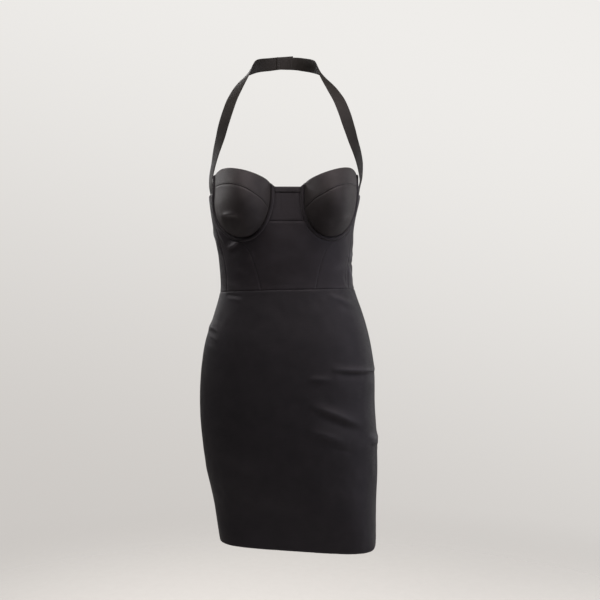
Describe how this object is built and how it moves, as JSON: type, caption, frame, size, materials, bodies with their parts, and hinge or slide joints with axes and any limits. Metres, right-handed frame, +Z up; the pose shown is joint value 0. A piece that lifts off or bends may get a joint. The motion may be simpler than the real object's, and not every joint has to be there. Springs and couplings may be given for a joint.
{
  "type": "bodycon dress",
  "caption": "Close-fitting sleeveless dress that ends above the knee, with wired cups, a panelled bodice, a straight skirt and a halter strap round the neck, in its hollow worn form.",
  "frame": {"origin": "inside face of the halter at the centre of the back of the neck, where the wearer holds the dress up", "axes": "+Z up along the wearer, the front of the dress faces -Y, +X is the wearer's left"},
  "size_m": [0.336, 0.2593, 0.9407],
  "materials": {
    "bodice_cloth": "black stretch satin weave with a soft broad sheen",
    "skirt_cloth": "black stretch satin weave with a soft broad sheen",
    "strap_cloth": "black doubled cloth with a soft sheen",
    "zip_metal": "black lacquer"
  },
  "bodies": {
    "dress": {"gore": "bodice_cloth", "gore_band": "bodice_cloth", "upper_cup_left": "bodice_cloth", "upper_cup_right": "bodice_cloth", "lower_cup_left": "bodice_cloth", "lower_cup_right": "bodice_cloth", "wire_casing_left": "bodice_cloth", "wire_casing_right": "bodice_cloth", "centre_front": "bodice_cloth", "side_front_left": "bodice_cloth", "side_front_right": "bodice_cloth", "side_panel_left": "bodice_cloth", "side_panel_right": "bodice_cloth", "back_left": "bodice_cloth", "back_right": "bodice_cloth", "skirt_front": "skirt_cloth", "skirt_back_left": "skirt_cloth", "skirt_back_right": "skirt_cloth", "halter_left": "strap_cloth", "halter_right": "strap_cloth", "zip_slider": "zip_metal"},
    "pull": {"zip_pull": "zip_metal"}
  },
  "joints": [
    {"name": "pull_hinge", "type": "hinge", "parent": "dress", "child": "pull", "pos_m": [-0.01058, 0.02125, -0.3098], "axis": [0.9969, 0.0789, 0], "range_deg": [-8, 150]}
  ]
}
